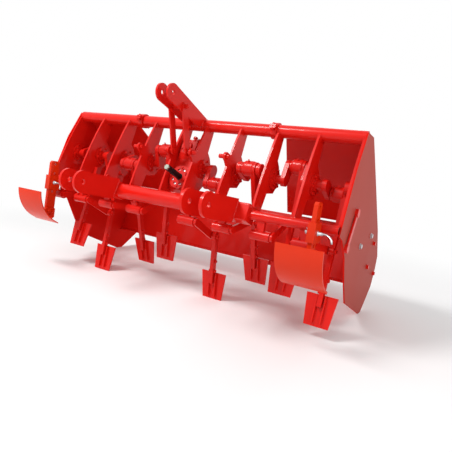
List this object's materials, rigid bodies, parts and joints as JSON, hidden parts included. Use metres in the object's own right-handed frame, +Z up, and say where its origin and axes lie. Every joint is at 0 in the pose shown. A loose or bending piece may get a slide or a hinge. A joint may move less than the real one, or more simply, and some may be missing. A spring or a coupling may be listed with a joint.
{
  "type": "spading machine",
  "caption": "Tractor-mounted spading machine: crank-driven spades in a ribbed frame, with a three-point hitch, side plates, rear board and height skids.",
  "frame": {"origin": "centre of the bounding box on the floor, with the machine standing parked", "axes": "+X across the machine to its right as seen from the tractor, +Y to its rear, +Z up"},
  "size_m": [2.04, 1.3397, 1.1946],
  "materials": {
    "red_paint": "gloss",
    "orange_red_paint": "gloss",
    "dark_steel": "satin"
  },
  "bodies": {
    "frame": {"beam_boxes": "red_paint", "bearings": "red_paint", "covers": "red_paint", "front_beam": "red_paint", "front_end_tubes": "red_paint", "gearbox": "red_paint", "lower_hitch_left": "red_paint", "lower_hitch_right": "red_paint", "mast_arms": "red_paint", "mast_pins": "red_paint", "mast_struts": "red_paint", "pto_ring": "red_paint", "rear_board": "red_paint", "rear_rail": "red_paint", "ribs_left": "red_paint", "ribs_right": "red_paint", "rocker_hangers": "red_paint", "rocker_pins": "red_paint", "rockers": "red_paint", "side_links": "red_paint", "side_plate_left": "red_paint", "side_plate_right": "red_paint", "skid_sockets": "orange_red_paint", "top_tube": "red_paint", "tube_collars": "red_paint"},
    "spade_1": {"spade_arm_1": "red_paint", "spade_blade_1": "red_paint"},
    "spade_2": {"spade_arm_2": "red_paint", "spade_blade_2": "red_paint"},
    "spade_3": {"spade_arm_3": "red_paint", "spade_blade_3": "red_paint"},
    "spade_4": {"spade_arm_4": "red_paint", "spade_blade_4": "red_paint"},
    "spade_5": {"spade_arm_5": "red_paint", "spade_blade_5": "red_paint"},
    "spade_6": {"spade_arm_6": "red_paint", "spade_blade_6": "red_paint"},
    "spade_7": {"spade_arm_7": "red_paint", "spade_blade_7": "red_paint"},
    "spade_8": {"spade_arm_8": "red_paint", "spade_blade_8": "red_paint"},
    "crankshaft": {"crankshaft_left": "red_paint", "crankshaft_right": "red_paint"},
    "pto_shaft": {"pto_shaft": "dark_steel"},
    "skid_left": {"skid_bar_left": "orange_red_paint", "skid_plate_left": "orange_red_paint"},
    "skid_right": {"skid_bar_right": "orange_red_paint", "skid_plate_right": "orange_red_paint"}
  },
  "joints": [
    {"name": "crank_turn", "type": "hinge", "parent": "frame", "child": "crankshaft", "pos_m": [0, -0.09898, 0.7571], "axis": [1, 0, 0], "continuous": true},
    {"name": "spade_pin_1", "type": "hinge", "parent": "crankshaft", "child": "spade_1", "pos_m": [-0.83, -0.01682, 0.78251], "axis": [1, 0, 0], "continuous": true},
    {"name": "spade_pin_2", "type": "hinge", "parent": "crankshaft", "child": "spade_2", "pos_m": [-0.602, -0.07358, 0.67494], "axis": [1, 0, 0], "continuous": true},
    {"name": "spade_pin_3", "type": "hinge", "parent": "crankshaft", "child": "spade_3", "pos_m": [-0.374, -0.18115, 0.7317], "axis": [1, 0, 0], "continuous": true},
    {"name": "spade_pin_4", "type": "hinge", "parent": "crankshaft", "child": "spade_4", "pos_m": [-0.146, -0.12439, 0.83927], "axis": [1, 0, 0], "continuous": true},
    {"name": "spade_pin_5", "type": "hinge", "parent": "crankshaft", "child": "spade_5", "pos_m": [0.238, -0.13912, 0.68104], "axis": [1, 0, 0], "continuous": true},
    {"name": "spade_pin_6", "type": "hinge", "parent": "crankshaft", "child": "spade_6", "pos_m": [0.466, -0.17504, 0.79724], "axis": [1, 0, 0], "continuous": true},
    {"name": "spade_pin_7", "type": "hinge", "parent": "crankshaft", "child": "spade_7", "pos_m": [0.694, -0.05885, 0.83317], "axis": [1, 0, 0], "continuous": true},
    {"name": "spade_pin_8", "type": "hinge", "parent": "crankshaft", "child": "spade_8", "pos_m": [0.922, -0.02292, 0.71697], "axis": [1, 0, 0], "continuous": true},
    {"name": "pto_spin", "type": "hinge", "parent": "frame", "child": "pto_shaft", "pos_m": [0, -0.34045, 0.75543], "axis": [0, -0.9221, 0.387], "continuous": true},
    {"name": "skid_height_left", "type": "slide", "parent": "frame", "child": "skid_left", "axis": [0, 0.0918, 0.9958], "range_m": [-0.12, 0.06]},
    {"name": "skid_height_right", "type": "slide", "parent": "frame", "child": "skid_right", "axis": [0, 0.0918, 0.9958], "range_m": [-0.12, 0.06]}
  ],
  "couplings": [
    {"joint": "spade_pin_1", "follows": "crank_turn", "ratio": -1},
    {"joint": "spade_pin_2", "follows": "crank_turn", "ratio": -1},
    {"joint": "spade_pin_3", "follows": "crank_turn", "ratio": -1},
    {"joint": "spade_pin_4", "follows": "crank_turn", "ratio": -1},
    {"joint": "spade_pin_5", "follows": "crank_turn", "ratio": -1},
    {"joint": "spade_pin_6", "follows": "crank_turn", "ratio": -1},
    {"joint": "spade_pin_7", "follows": "crank_turn", "ratio": -1},
    {"joint": "spade_pin_8", "follows": "crank_turn", "ratio": -1},
    {"joint": "pto_spin", "follows": "crank_turn", "ratio": 3}
  ]
}
